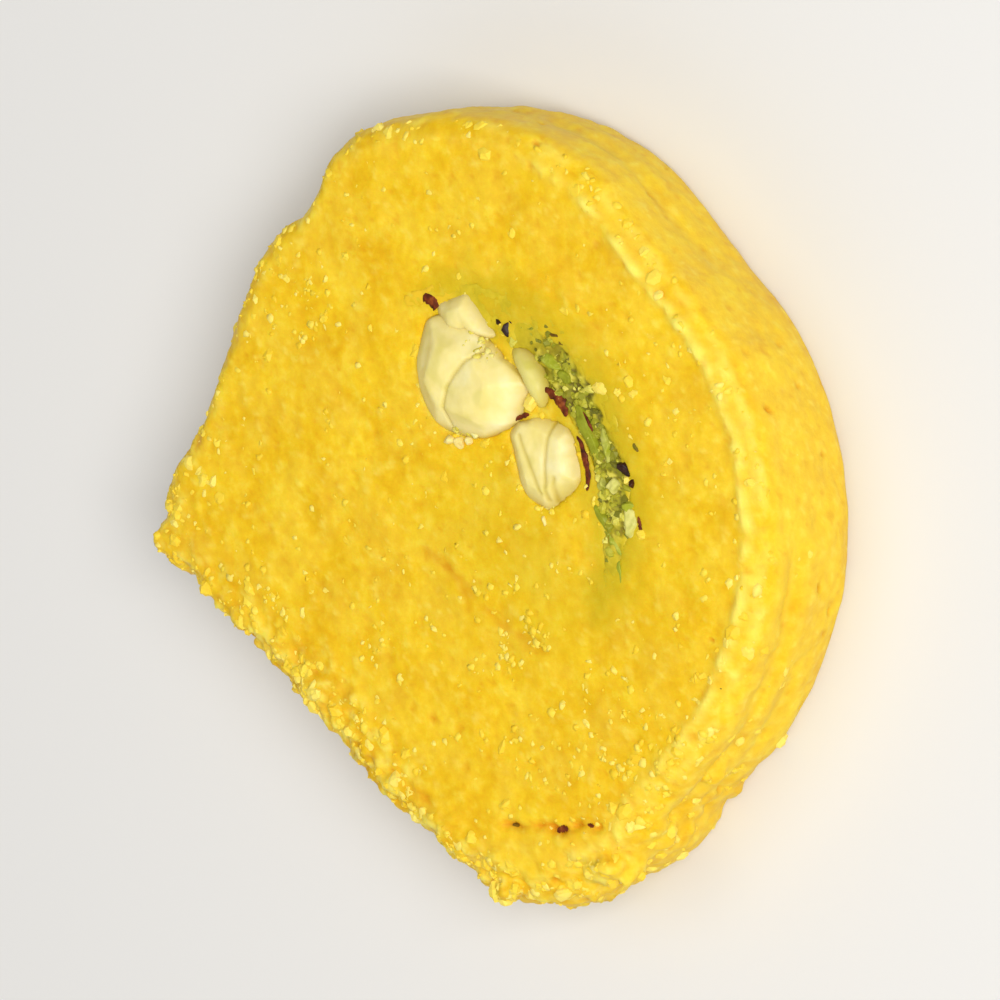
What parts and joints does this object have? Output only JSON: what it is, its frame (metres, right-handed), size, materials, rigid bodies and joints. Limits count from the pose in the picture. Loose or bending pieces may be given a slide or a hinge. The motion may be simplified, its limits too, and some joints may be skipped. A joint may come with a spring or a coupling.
{
  "type": "patisa roll slice",
  "caption": "Thick slice of a rolled yellow sweet lying flat, with a curved band of chopped pistachio and cashew pieces in its cut face.",
  "frame": {"origin": "below the middle of the slice, on the back cut face that it lies on", "axes": "+Z is the normal of the front cut face, up as the slice lies; +X points in that face from the corner with the broken front edge to the round side opposite, and the torn lip is towards +Y"},
  "size_m": [0.059, 0.0576, 0.0131],
  "materials": {
    "yellow_sweet": "soft grainy sweet with a slight buttery sheen",
    "pistachio": "chopped green nut, oily",
    "cashew": "smooth cream nut, slightly waxy"
  },
  "bodies": {
    "root": {"patisa_body": "yellow_sweet", "pistachio_band": "pistachio", "cashew_large": "cashew", "cashew_small": "cashew", "cashew_chip": "cashew", "cashew_sliver": "cashew"}
  },
  "joints": []
}
